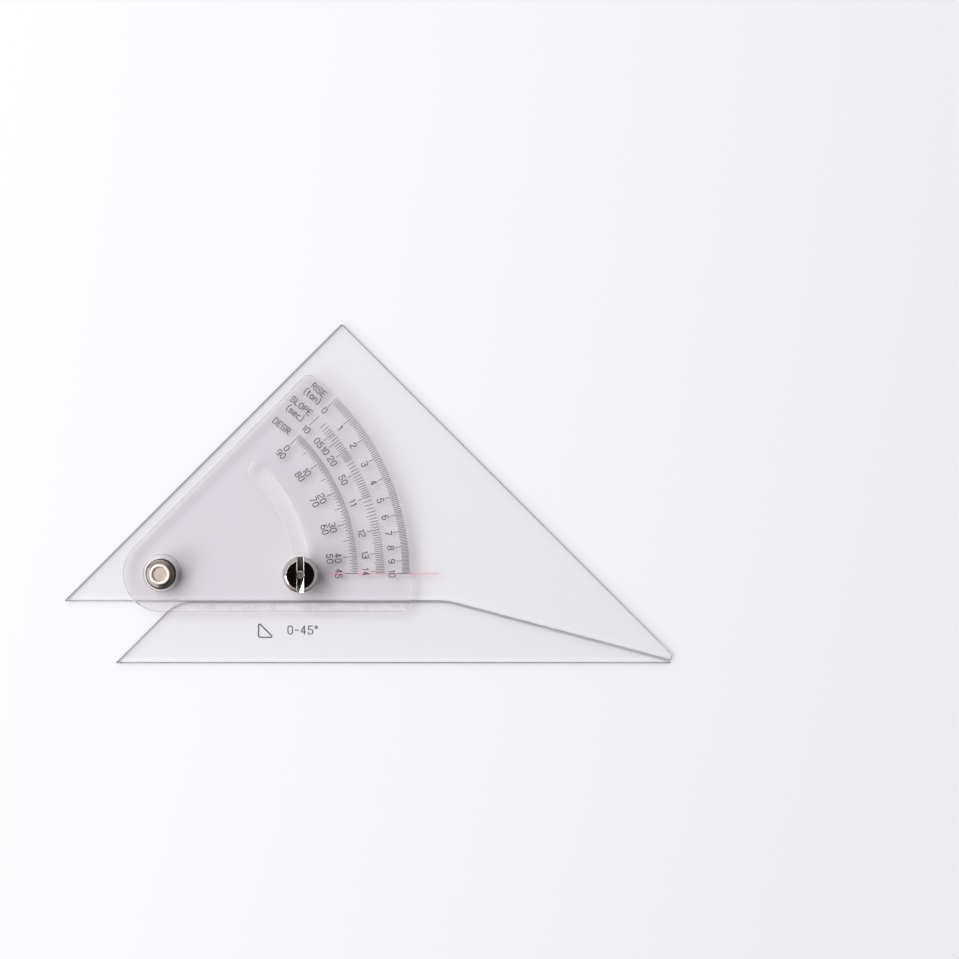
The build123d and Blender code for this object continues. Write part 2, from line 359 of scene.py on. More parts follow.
def printInk(name, colour, thinner, roughness=0.45):
    # Screen-printed ink: dense, with thinner grains where the mesh let less through.
    material, tree, ink = newMaterial(name)[:3]
    grain = addNode(tree, "ShaderNodeTexNoise", Scale=6, Detail=3)
    tree.links.new(objectPattern(tree, (1, 1, 1)), grain.inputs["Vector"])
    tone = addNode(tree, "ShaderNodeValToRGB")
    tone.color_ramp.elements[0].position = 0.35
    tone.color_ramp.elements[0].color = (*colour, 1)
    tone.color_ramp.elements[1].position = 0.75
    tone.color_ramp.elements[1].color = (*thinner, 1)
    tree.links.new(grain.outputs["Fac"], tone.inputs["Fac"])
    tree.links.new(tone.outputs["Color"], ink.inputs["Base Color"])
    bump = addNode(tree, "ShaderNodeBump", Strength=0.3, Distance=0.003 * mm)
    tree.links.new(grain.outputs["Fac"], bump.inputs["Height"])
    tree.links.new(bump.outputs["Normal"], ink.inputs["Normal"])
    ink.inputs["Roughness"].default_value = roughness
    return material


def filmRing():
    # Milky plastic film, a little cloudy.
    material, tree, film = newMaterial("filmRing")[:3]
    cloud = addNode(tree, "ShaderNodeTexNoise", Scale=1.5, Detail=3)
    tree.links.new(objectPattern(tree, (1, 1, 1)), cloud.inputs["Vector"])
    tone = addNode(tree, "ShaderNodeValToRGB")
    tone.color_ramp.elements[0].color = (0.62, 0.61, 0.6, 1)
    tone.color_ramp.elements[1].color = (0.78, 0.77, 0.76, 1)
    tree.links.new(cloud.outputs["Fac"], tone.inputs["Fac"])
    tree.links.new(tone.outputs["Color"], film.inputs["Base Color"])
    film.inputs["Roughness"].default_value = 0.4
    return material


wetted = contactFace()
nickel = turnedMetal("platedMetal", (0.88, 0.83, 0.74), (0.78, 0.73, 0.64), (0.3, 0.42), 14, 0.0015)
knobNickel = turnedMetal("knobMetal", (0.9, 0.87, 0.84), (0.82, 0.79, 0.76), (0.04, 0.1), 14, 0.0006,
                         clampX)
# The cone flank's metal is a darker copy of the plated metal: painted shade standing in for the dark
# surroundings its slope reflects.
flankMetalPaintedShade = turnedMetal("flankMetalPaintedShade", (0.62, 0.55, 0.5), (0.48, 0.42, 0.38), (0.06, 0.16), 14, 0.0012)
postMetal = turnedMetal("postMetal", (0.62, 0.5, 0.44), (0.46, 0.37, 0.32), (0.42, 0.6), 10, 0.012,
                        brushed=(7, 0.5, 1))
screwMetal = turnedMetal("screwMetal", (0.8, 0.77, 0.74), (0.6, 0.58, 0.56), (0.14, 0.3), 12, 0.003, clampX)
blackInk = printInk("blackInk", (0.02, 0.016, 0.018), (0.05, 0.042, 0.045))
redInk = printInk("redInk", (0.85, 0.3, 0.28), (0.9, 0.46, 0.44))
film = filmRing()
print("materials made")

square = dict(
    longLeg=152.4,          # right-angled corner to sharp corner
    pivotToSlant=15.7,      # pivot axis to the swing plate's left ruling edge
    pivotToRule=28.6,       # pivot axis to the base plate's ruling edge
    pivotToParting=8.9,     # pivot axis to the swing plate's lower edge
    kinkToCorner=74.3,      # parting line's bend to the sharp corner
    partingGap=0.4,
    baseSetBack=25.4,
    kinkRadius=20,
    baseCornerRadius=11,
    tipCut=3.3,
    apexCut=0.35,
    cornerRadius=0.25,      # what a file leaves on a sharp corner
    edgeRadius=0.08,        # and along an edge
)
protractor = dict(
    cornerRadius=12,
    scaleRadius=78.7,
    scaleChamfer=1.3,
    slotRadius=44.1,
    slotHalf=3.0,
    swing=45,
    stopMargin=0.7,
    openMargin=2.0,
    boreRadius=2.78,
    arcGap=0.004,           # radians of the scale's arc left to each chamfer's round
)
seats = dict(
    pivotBore=2.8,
    pocketRadius=6.0,       # round the post's head
    pocketDepth=1.15,
    shoulderBore=2.88,      # round the screw
    screwPocket=4.63,
    screwDepth=1.25,
)
groove = dict(corner=0.02, edge=0.008, floor=0.012)    # round the index line


def plateCorners():
    # The two outlines: legs at 45 degrees from the apex, and a parting line that falls to the sharp corner.
    s = square
    ruleY, partingY = -s["pivotToRule"], -s["pivotToParting"]
    span = s["longLeg"] / math.sqrt(2)
    apexY = ruleY + span
    apexX = apexY - s["pivotToSlant"] * math.sqrt(2)
    cornerX = apexX + span
    leftX = apexX - (apexY - partingY)
    kinkX = cornerX - s["kinkToCorner"]
    fall = math.atan2(partingY - ruleY, s["kinkToCorner"])
    bisector = math.radians(180 - 45 / 2)

    def tip(direction):
        reach = s["tipCut"] / math.cos(direction - bisector)
        return cornerX + reach * math.cos(direction), ruleY + reach * math.sin(direction)

    small = s["cornerRadius"]
    swing = [
        (leftX, partingY, small),
        (kinkX, partingY, s["kinkRadius"]),
        (*tip(math.pi - fall), small),
        (*tip(math.radians(135)), small),
        (apexX + s["apexCut"], apexY - s["apexCut"], small),
        (apexX - s["apexCut"], apexY - s["apexCut"], small),
    ]
    baseTop = partingY - s["partingGap"]
    baseLeft = ruleY - apexY + apexX + s["baseSetBack"] * math.sqrt(2)
    baseKink = kinkX - s["partingGap"] * math.tan(fall / 2)
    toKink = np.array((baseKink - cornerX, baseTop - ruleY))
    across = np.array((math.cos(bisector), math.sin(bisector)))
    slope = np.array((math.cos(fall), -math.sin(fall)))
    baseTip = np.array((baseKink, baseTop)) + slope * (s["tipCut"] - toKink @ across) / (slope @ across)
    base = [
        (baseLeft, ruleY, small),
        (*tip(math.pi), small),
        (*baseTip, small),
        (baseKink, baseTop, s["kinkRadius"]),
        (baseLeft + baseTop - ruleY, baseTop, s["baseCornerRadius"]),
    ]
    return swing, base


def rimProfile(bottom, top, edge):
    # Up the side of a plate, with a small round at each edge.
    return roundCorners([(-2 * edge, bottom, 0), (0, bottom, edge), (0, top, edge), (-2 * edge, top, 0)],
                        closed=False, stepAngle=30)


def steppedProfile(bottom, top, step, wide, edge):
    # Up the side of a hole that is wider by this much below its step.
    return roundCorners(
        [
            (-wide - 2 * edge, bottom, 0),
            (-wide, bottom, edge),
            (-wide, step, edge),
            (0, step, edge),
            (0, top, edge),
            (-2 * edge, top, 0),
        ],
        closed=False, stepAngle=30,
    )


def fixedFace(shell, outline, level, up, slot):
    # A flat region given by its outline, with its own material slot.
    points = np.column_stack((outline, np.full(len(outline), level)))
    facing = np.zeros_like(points)
    facing[:, 2] = 1 if up else -1
    first = addPoints(shell, points, facing)
    loop = first + np.arange(len(points))
    cap(shell, [loop], up, slot)
    return loop


def cementOutline():
    # The points of the cement film's top face, off its own CAD mesh. The face is convex, so their order
    # round it is the order of their directions from its middle.
    corners = np.array([v.co for v in nodes["cement_film"].data.vertices])
    points = np.unique(np.round(corners / mm, 4), axis=0)
    points = points[points[:, 2] > points[:, 2].mean()][:, :2]
    middle = (points.min(axis=0) + points.max(axis=0)) / 2
    return points[np.argsort(np.arctan2(*(points - middle).T[::-1]))]


swingCorners, baseCorners = plateCorners()
edge = square["edgeRadius"]
cement = cementOutline()

# where the plates' downhill edges lie, for the bands of light inside them
fallAngle = math.atan2(square["pivotToRule"] - square["pivotToParting"], square["kinkToCorner"])
fallWay = (-math.sin(fallAngle), -math.cos(fallAngle))
kinkAt = np.array(swingCorners[1][:2])
plateTint, plateShade, plateShadow = (0.995, 0.99, 0.995), (0.985, 0.98, 0.985), (0.982, 0.977, 0.981)
swingClear = clearPlate("clearSwing", plateTint, plateShade, plateShadow,
                        [(0, -1, square["pivotToParting"]), (*fallWay, kinkAt @ np.array(fallWay))])
baseClear = clearPlate("clearBase", plateTint, plateShade, plateShadow, [(0, -1, square["pivotToRule"])])
plateRim = clearPlate("clearRim", plateTint, plateShade, (1, 0.99, 1), rimBottom=0)
protractorTint, protractorShade = (0.99, 0.974, 0.988), (0.98, 0.964, 0.98)
protractorClear = clearPlate("clearProtractor", protractorTint, protractorShade, (0.965, 0.95, 0.965))
protractorRim = clearPlate("protractorRim", protractorTint, protractorShade, (1, 0.98, 1),
                           rimBottom=protractorBottom)


def makeSwingPlate():
    # The plate's rim, its two stepped holes and the index line's groove are walls; flat faces close them.
    p = seats
    shell = newShell()
    rim = carry(shell, roundCorners(swingCorners), rimProfile(0, plateTop, edge), 1)
    bore = carry(shell, circlePath(p["pivotBore"], hole=True),
                 steppedProfile(0, plateTop, p["pocketDepth"], p["pocketRadius"] - p["pivotBore"], edge))
    seat = carry(shell, circlePath(p["shoulderBore"], clampX, hole=True),
                 steppedProfile(0, plateTop, p["screwDepth"], p["screwPocket"] - p["shoulderBore"], edge))
    low, high = (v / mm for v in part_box("index_line"))
    across = [(low.x, low.y), (low.x, high.y), (high.x, high.y), (high.x, low.y)]
    outline = roundCorners([(x, y, groove["corner"]) for x, y in across], stepAngle=30)
    side = roundCorners([(groove["floor"], low.z, 0), (0, low.z, groove["edge"]),
                         (0, plateTop, groove["edge"]), (-groove["corner"], plateTop, 0)],
                        closed=False, stepAngle=45)
    walls = carry(shell, outline, side)
    cap(shell, [rim[0], bore[0], seat[0]], up=False)
    cap(shell, [walls[0]], up=True)
    cap(shell, [rim[1], bore[1], seat[1], walls[1]], up=True)
    finishShell("swingPlate", shell, [swingClear, plateRim], "swing", ["swing_plate"])


def makeBasePlate():
    # The plate's rim is a wall, and flat faces close it: the cemented region has its own.
    shell = newShell()
    rim = carry(shell, roundCorners(baseCorners), rimProfile(0, plateTop, edge), 2)
    wet = fixedFace(shell, cement, plateTop, True, 1)
    cap(shell, [rim[0]], up=False)
    cap(shell, [rim[1], wet], up=True)
    finishShell("basePlate", shell, [baseClear, wetted, plateRim], "base", ["base_plate"])


def arcSlotPath(radius, half, low, high):
    # A slot along an arc about the pivot, clockwise, with half-circle ends.
    steps = 40
    turn = np.radians(np.linspace(low, high, steps))
    outer = np.stack((np.cos(turn), np.sin(turn)), axis=1)
    ends = np.radians(np.linspace(0, 180, 17))[1:-1]

    def halfCircle(angle, start):
        around = angle + start - ends
        direction = np.stack((np.cos(around), np.sin(around)), axis=1)
        centre = radius * np.array((math.cos(angle), math.sin(angle)))
        return centre + direction * half, -direction

    farEnd = halfCircle(math.radians(high), math.pi)
    nearEnd = halfCircle(math.radians(low), 0)
    inner = (outer * (radius - half), outer)
    outerWall = (outer[::-1] * (radius + half), -outer[::-1])
    pieces = [inner, farEnd, outerWall, nearEnd]
    return tuple(np.concatenate([p[k] for p in pieces]) for k in (0, 1))


def protractorPath():
    # A round end about the pivot, two straight sides, and the scale's arc, with a chamfer where they meet.
    p = protractor
    end, radius, cut = p["cornerRadius"], p["scaleRadius"], p["scaleChamfer"]
    low = math.asin(end / radius)
    cutTurn = cut / radius
    first, last = cutTurn - low, p["swing"] * math.pi / 180 + low - cutTurn
    angles = np.linspace(first + p["arcGap"], last - p["arcGap"], 90)
    arc = np.stack((np.cos(angles), np.sin(angles)), axis=1)
    turned = np.radians(np.linspace(135, 270, 40))
    back = np.stack((np.cos(turned), np.sin(turned)), axis=1)

    def onArc(angle):
        return radius * np.array((math.cos(angle), math.sin(angle)))

    def tangent(angle):
        return np.array((-math.sin(angle), math.cos(angle)))

    small = square["cornerRadius"]
    lower = roundCorners([(0, -end, 0), (radius * math.cos(low) - cut, -end, small), (*onArc(first), small),
                          (*(onArc(first) + tangent(first)), 0)], closed=False)
    side = np.array((math.sqrt(0.5), math.sqrt(0.5)))
    upperEnd = onArc(p["swing"] * math.pi / 180 + low) - side * cut
    upper = roundCorners([(*(onArc(last) - tangent(last)), 0), (*onArc(last), small), (*upperEnd, small),
                          (-end * side[0], end * side[1], 0)], closed=False)
    runs = [(lower[0][1:-1], lower[1][1:-1]), (arc * radius, arc), (upper[0][1:-1], upper[1][1:-1]),
            (back * end, back)]
    return tuple(np.concatenate([run[k] for run in runs]) for k in (0, 1))


def makeProtractor():
    # The sector's rim, its slot and its bore are walls, and flat faces close them.
    p = protractor
    shell = newShell()
    low, high = protractorBottom, protractorTop
    rim = carry(shell, protractorPath(), rimProfile(low, high, edge), 2)
    slotPath = arcSlotPath(p["slotRadius"], p["slotHalf"], -p["stopMargin"], p["swing"] + p["openMargin"])
    slot = carry(shell, slotPath, rimProfile(low, high, edge), 2)
    bore = carry(shell, circlePath(p["boreRadius"], hole=True), rimProfile(low, high, edge))
    wet = fixedFace(shell, cement, low, False, 1)
    cap(shell, [rim[0], slot[0], bore[0], wet], up=False)
    cap(shell, [rim[1], slot[1], bore[1]], up=True)
    finishShell("protractorPlate", shell, [protractorClear, wetted, protractorRim], "base",
                ["protractor_plate"])


makeSwingPlate()
makeBasePlate()
makeProtractor()
print("plates made")

ink = dict(
    sunk=0.002,            # mm into the face it is printed on
    thickness=0.012,
    tickWidth=0.17,
    strokeWidth=0.27,
    figureHeight=1.95,
    labelHeight=1.9,
    narrow=0.84,           # letters' width, share of the drawn one
    gap=0.31,              # between letters, share of the height
)
scales = dict(
    riseOuter=78.4, riseShort=76.1, riseLong=74.4, riseFigures=72.9,
    slopeOuter=70.4, slopeShort=67.8, slopeHalf=67.3, slopeLong=66.2, slopeFigures=64.6,
    degreeOuter=62.0, degreeHalf=60.4, degreeShort=59.6, degreeFive=58.3, degreeTen=57.5,
    degreeFigures=56.0, otherFigures=53.4,
)

# each letter's strokes in a box 4 wide and 6 high: (closed, corners as x, y, radius)
letters = {
    "0": [(True, [(0, 0, 1.9), (4, 0, 1.9), (4, 6, 1.9), (0, 6, 1.9)])],
    "1": [(False, [(0.9, 4.7, 0), (2.3, 6, 0.5), (2.3, 0, 0)])],
    "2": [(False, [(0, 4.4, 0), (0, 6, 1.4), (4, 6, 1.5), (4, 3.6, 1.4), (0, 1.4, 0.6), (0, 0, 0.5),
                   (4, 0, 0)])],
    "3": [(False, [(0, 6, 0), (4, 6, 1.3), (4, 3.2, 1.2), (1.4, 3.2, 0)]),
          (False, [(1.4, 3.2, 0), (4, 3.2, 1.3), (4, 0, 1.4), (0, 0, 1.2), (0, 1.4, 0)])],
    "4": [(False, [(2.9, 0, 0), (2.9, 6, 0)]), (False, [(2.9, 6, 0), (0, 1.6, 0.5), (4, 1.6, 0)])],
    "5": [(False, [(3.7, 6, 0), (0.5, 6, 0.5), (0.3, 3.5, 0)]),
          (False, [(0.3, 3.5, 0), (4, 3.5, 1.5), (4, 0, 1.6), (0, 0, 1.2), (0, 1.4, 0)])],
    "6": [(True, [(0, 0, 1.7), (4, 0, 1.7), (4, 3.6, 1.7), (0, 3.6, 1.7)]),
          (False, [(0, 1.8, 0), (0, 6, 2), (3.4, 6, 0)])],
    "7": [(False, [(0, 6, 0), (4, 6, 0.6), (1.4, 0, 0)])],
    "8": [(True, [(0.2, 3.2, 1.3), (3.8, 3.2, 1.3), (3.8, 6, 1.3), (0.2, 6, 1.3)]),
          (True, [(0, 0, 1.5), (4, 0, 1.5), (4, 3.2, 1.5), (0, 3.2, 1.5)])],
    "9": [(True, [(0, 2.4, 1.7), (4, 2.4, 1.7), (4, 6, 1.7), (0, 6, 1.7)]),
          (False, [(4, 4.2, 0), (4, 0, 2), (0.6, 0, 0)])],
    "R": [(False, [(0, 0, 0), (0, 6, 0.5), (4, 6, 1.4), (4, 3.1, 1.3), (0, 3.1, 0)]),
          (False, [(2, 3.1, 0), (4, 0, 0)])],
    "I": [(False, [(0, 0, 0), (0, 6, 0)])],
    "S": [(False, [(3.9, 4.7, 0), (3.9, 6, 1.1), (0.1, 6, 1.3), (0.1, 3.1, 1.3), (3.9, 3.1, 1.3),
                   (3.9, 0, 1.3), (0.1, 0, 1.1), (0.1, 1.3, 0)])],
    "E": [(False, [(4, 6, 0), (0, 6, 0.5), (0, 0, 0.5), (4, 0, 0)]), (False, [(0, 3.1, 0), (3.2, 3.1, 0)])],
    "L": [(False, [(0, 6, 0), (0, 0, 0.5), (4, 0, 0)])],
    "O": [(True, [(0, 0, 1.9), (4, 0, 1.9), (4, 6, 1.9), (0, 6, 1.9)])],
    "P": [(False, [(0, 0, 0), (0, 6, 0.5), (4, 6, 1.4), (4, 3, 1.3), (0, 3, 0)])],
    "D": [(True, [(0, 0, 0.5), (4, 0, 1.9), (4, 6, 1.9), (0, 6, 0.5)])],
    "G": [(False, [(4, 4.8, 0), (4, 6, 1), (0, 6, 1.6), (0, 0, 1.6), (4, 0, 1.3), (4, 2.8, 0.5),
                   (2.2, 2.8, 0)])],
    "t": [(False, [(1, 6, 0), (1, 0, 0.9), (2.6, 0, 0)]), (False, [(0, 4.2, 0), (2.4, 4.2, 0)])],
    "a": [(True, [(0, 0, 1.5), (3.6, 0, 1.5), (3.6, 4, 1.5), (0, 4, 1.5)]),
          (False, [(3.6, 4, 0), (3.6, 0, 0)])],
    "n": [(False, [(0, 0, 0), (0, 4, 0)]), (False, [(0, 2.3, 0), (0, 4, 1.5), (3.6, 4, 1.5), (3.6, 0, 0)])],
    "s": [(False, [(3.4, 3.1, 0), (3.4, 4, 0.7), (0.1, 4, 0.9), (0.1, 2.1, 0.8), (3.4, 2.1, 0.8),
                   (3.4, 0, 0.9), (0.1, 0, 0.7), (0.1, 0.9, 0)])],
    "e": [(False, [(0, 2.1, 0), (3.6, 2.1, 0.5), (3.6, 4, 1.1), (0, 4, 1.5), (0, 0, 1.5), (3.4, 0, 0)])],
    "c": [(False, [(3.4, 4, 0), (0, 4, 1.6), (0, 0, 1.6), (3.4, 0, 0)])],
    "(": [(False, [(1.4, 7, 0), (0, 5.2, 2), (0, 0.8, 2), (1.4, -1, 0)])],
    ")": [(False, [(0, 7, 0), (1.4, 5.2, 2), (1.4, 0.8, 2), (0, -1, 0)])],
    ".": [(False, [(0, 0, 0), (0, 0.3, 0)])],
    "-": [(False, [(0, 2.9, 0), (3, 2.9, 0)])],
    "°": [(True, [(0, 4.2, 0.85), (1.8, 4.2, 0.85), (1.8, 6, 0.85), (0, 6, 0.85)])],
}


def inkSolid(shell, left, right, level, closed):
    # A flat film between two rows of points: four points across it at each station, two above, two below.
    rows = len(left)
    grid = np.empty((rows, 4, 3))
    grid[:, 0, :2], grid[:, 1, :2], grid[:, 2, :2], grid[:, 3, :2] = left, right, right, left
    grid[:, :2, 2], grid[:, 2:, 2] = level[1], level[0]
    facing = np.zeros_like(grid)
    facing[:, :2, 2], facing[:, 2:, 2] = 1, -1
    first = addPoints(shell, grid, facing)
    addFaces(shell, gridFaces(first, rows, 4, closed, True)[:, ::-1])
    if not closed:
        start, last = first, first + (rows - 1) * 4
        addFaces(shell, np.array([[start, start + 1, start + 2, start + 3],
                                  [last + 3, last + 2, last + 1, last]]))


def stroke(shell, corners, closed, width, level, place):
    # A pen stroke along a rounded path. At a free end the film runs on by half its width times a sine while
    # its half width shrinks with the cosine, which makes the end round.
    points, normals = roundCorners(corners, closed, stepAngle=18)
    half = np.full(len(points), width / 2)
    if not closed:
        turn = np.radians([20, 40, 60, 80])
        first, last = normals[0], normals[-1]
        back, on = np.array((first[1], -first[0])), np.array((-last[1], last[0]))
        reach = (width / 2 * np.sin(turn))[:, None]
        points = np.concatenate((points[:1] + (back * reach)[::-1], points, points[-1:] + on * reach))
        normals = np.concatenate((np.repeat(first[None], 4, 0), normals, np.repeat(last[None], 4, 0)))
        taper = width / 2 * np.cos(turn)
        half = np.concatenate((taper[::-1], half, taper))
    origin, axisX, axisY = place
    turned = np.stack((axisX, axisY))
    left = origin + (points - normals * half[:, None]) @ turned
    right = origin + (points + normals * half[:, None]) @ turned
    inkSolid(shell, left, right, level, closed)


def write(shell, text, centre, up, height, level):
    # Letters side by side, centred on a point, with their tops towards a direction.
    unitSize = height / 6
    along = np.array((up[1], -up[0]))
    narrow = ink["narrow"]
    widths = [narrow * max(x for _, corners in letters[c] for x, _, _ in corners) for c in text]
    gap = ink["gap"] * 6
    start = -(sum(widths) + gap * (len(text) - 1)) / 2
    for letter, width in zip(text, widths):
        origin = centre + along * start * unitSize - np.array(up) * 3 * unitSize
        for number, (closed, corners) in enumerate(letters[letter]):
            scaled = [(x * narrow * unitSize, y * unitSize, r * narrow * unitSize) for x, y, r in corners]
            stroke(shell, scaled, closed, ink["strokeWidth"], (level[0] - 0.001 * number, level[1]),
                   (origin, along, np.array(up)))
        start += width + gap


def radial(degrees):
    # The direction of a scale angle: 45 lies along X and zero is 45 degrees up from it.
    turn = np.radians(protractor["swing"] - np.asarray(degrees, float))
    return np.stack((np.cos(turn), np.sin(turn)), axis=-1)


def ticks(shell, degrees, inner, outer, level):
    # Straight marks between two radii, all as one array of boxes.
    way = radial(degrees)
    across = np.stack((-way[:, 1], way[:, 0]), axis=1) * ink["tickWidth"] / 2
    inner = np.broadcast_to(np.asarray(inner, float), len(way))[:, None]
    near, far = way * inner, way * outer
    corners = np.stack((near - across, far - across, far + across, near + across), 1)
    grid = np.empty((len(way), 8, 3))
    grid[:, :4, :2] = grid[:, 4:, :2] = corners
    grid[:, :4, 2], grid[:, 4:, 2] = level
    facing = np.zeros_like(grid)
    facing[:, :4, 2], facing[:, 4:, 2] = -1, 1
    first = addPoints(shell, grid, facing)
    box = np.array([(3, 2, 1, 0), (4, 5, 6, 7), (0, 1, 5, 4), (1, 2, 6, 5), (2, 3, 7, 6), (3, 0, 4, 7)])
    addFaces(shell, (box[None] + first + 8 * np.arange(len(way))[:, None, None]).reshape(-1, 4))


def makeScales():
    # The three scales on the protractor's underside: tangents in tenths, secants, and degrees.
    c = scales
    level = (protractorBottom + ink["sunk"] - ink["thickness"], protractorBottom + ink["sunk"])
    shell = newShell()
    hundredths = np.arange(101)
    ticks(shell, np.degrees(np.arctan(hundredths / 100)),
          np.where(hundredths % 10 == 0, c["riseLong"], c["riseShort"]), c["riseOuter"], level)
    secants = np.concatenate((np.arange(1000, 1006), np.arange(1006, 1030, 2), np.arange(1030, 1100, 5),
                              np.arange(1100, 1411, 10)))
    full = np.isin(secants, (1000, 1005, 1010, 1020, 1050, 1100, 1200, 1300, 1400))
    halfway = (secants >= 1100) & (secants % 100 == 50)
    ticks(shell, np.degrees(np.arccos(1000 / secants)),
          np.select((full, halfway), (c["slopeLong"], c["slopeHalf"]), c["slopeShort"]),
          c["slopeOuter"], level)
    halves = np.arange(91)
    ticks(shell, halves / 2,
          np.select((halves % 20 == 0, halves % 10 == 0, halves % 2 == 0),
                    (c["degreeTen"], c["degreeFive"], c["degreeShort"]), c["degreeHalf"]),
          c["degreeOuter"], level)
    finishShell("scaleTicks", shell, [blackInk], "base")

    shell = newShell()
    rows = [(c["riseFigures"], [(str(n), math.degrees(math.atan(n / 10))) for n in range(11)]),
            (c["slopeFigures"], [(text, math.degrees(math.acos(1 / value))) for text, value in (
                ("10", 1.0), ("05", 1.0043), ("10", 1.01), ("20", 1.021), ("50", 1.05), ("11", 1.1),
                ("12", 1.2), ("13", 1.3), ("14", 1.4))]),
            (c["degreeFigures"], [(str(n), n) for n in (0, 10, 20, 30, 40, 45)]),
            (c["otherFigures"], [(str(90 - n), n) for n in (0, 10, 20, 30, 40)])]
    for radius, figures in rows:
        for text, degrees in figures:
            way = radial(degrees)
            write(shell, text, way * radius, way, ink["figureHeight"], level)
    for text, degrees, radius in (("RISE", -4.4, 76.4), ("(tan)", -4.6, 73.6), ("SLOPE", -5.2, 69.0),
                                  ("(sec)", -5.2, 66.0), ("DEGR.", -5.6, 60.2)):
        way = radial(degrees)
        write(shell, text, way * radius, way, ink["labelHeight"], level)
    finishShell("scaleFigures", shell, [blackInk], "base")


# the mark on the base plate, in millimetres: the triangle stands left of its centre, the figures right of it
badge = dict(centre=(41.5, -18.2), side=4.6, height=2.6, toTriangle=11, toFigures=3, bolder=1.3)


def makeBadge():
    # An outlined right-angled triangle and the range of angles, printed under the base plate.
    shell = newShell()
    level = (ink["sunk"], ink["sunk"] + ink["thickness"])
    x, y = badge["centre"]
    side = badge["side"]
    left, low = x - badge["toTriangle"], y - side / 2
    stroke(shell, [(left, low, 0.5), (left + side, low, 0.3), (left, low + side, 0.3)], True,
           ink["strokeWidth"] * badge["bolder"], level, (np.zeros(2), np.array((1.0, 0)), np.array((0, 1.0))))
    write(shell, "0-45°", np.array((x + badge["toFigures"], y)), (0.0, 1.0), badge["height"], level)
    finishShell("rangeMark", shell, [blackInk], "base")


makeScales()
makeBadge()
print("scales made")

collar = dict(bore=2.78, foot=4.9, flange=0.35, wall=4.3, cone=1.05, crown=3.15, lip=2.25, crownRound=0.3,
              footRound=0.08, lipRoom=0.04)
knob = dict(bore=1.3, radius=5.6, face=4.4, crownHeight=0.8, footChamfer=0.3, land=0.15, teeth=72,
            toothDepth=0.11, slotWidth=2.3, slotDepth=1.6, slotRound=0.2, slotFlare=0.08, sawRadius=22,
            stations=25)


def makeCollar():
    # A ring turned about the pivot axis: a flange, a wall, a cone and a round crown, whose lip reaches in
    # over the post's end.
    c = collar
    shell = newShell()
    section = [(c["bore"], collarBottom, 0.03), (c["foot"], collarBottom, c["footRound"]),
               (c["foot"], collarBottom + c["flange"], 0.12), (c["wall"], collarBottom + c["flange"], 0.1),
               (c["wall"], collarTop - c["cone"], 0.15), (c["crown"], collarTop, c["crownRound"]),
               (c["lip"], collarTop, c["crownRound"]), (c["lip"], postTop + c["lipRoom"], 0.03),
               (c["bore"], postTop + c["lipRoom"], 0.03)]
    carry(shell, circlePath(0), roundCorners(section, stepAngle=10), closed=True)
    points = shell["points"][0]
    middle = points[np.array(shell["faces"])].mean(axis=1)
    # Faces outside the crown take the darker flank metal: painted shade for the dark surroundings the cone
    # reflects.
    shell["slots"] = (np.hypot(middle[:, 0], middle[:, 1]) > c["crown"] - 0.02).astype(int).tolist()
    finishShell("pivotCollar", shell, [nickel, flankMetalPaintedShade], "base", ["pivot_collar"])


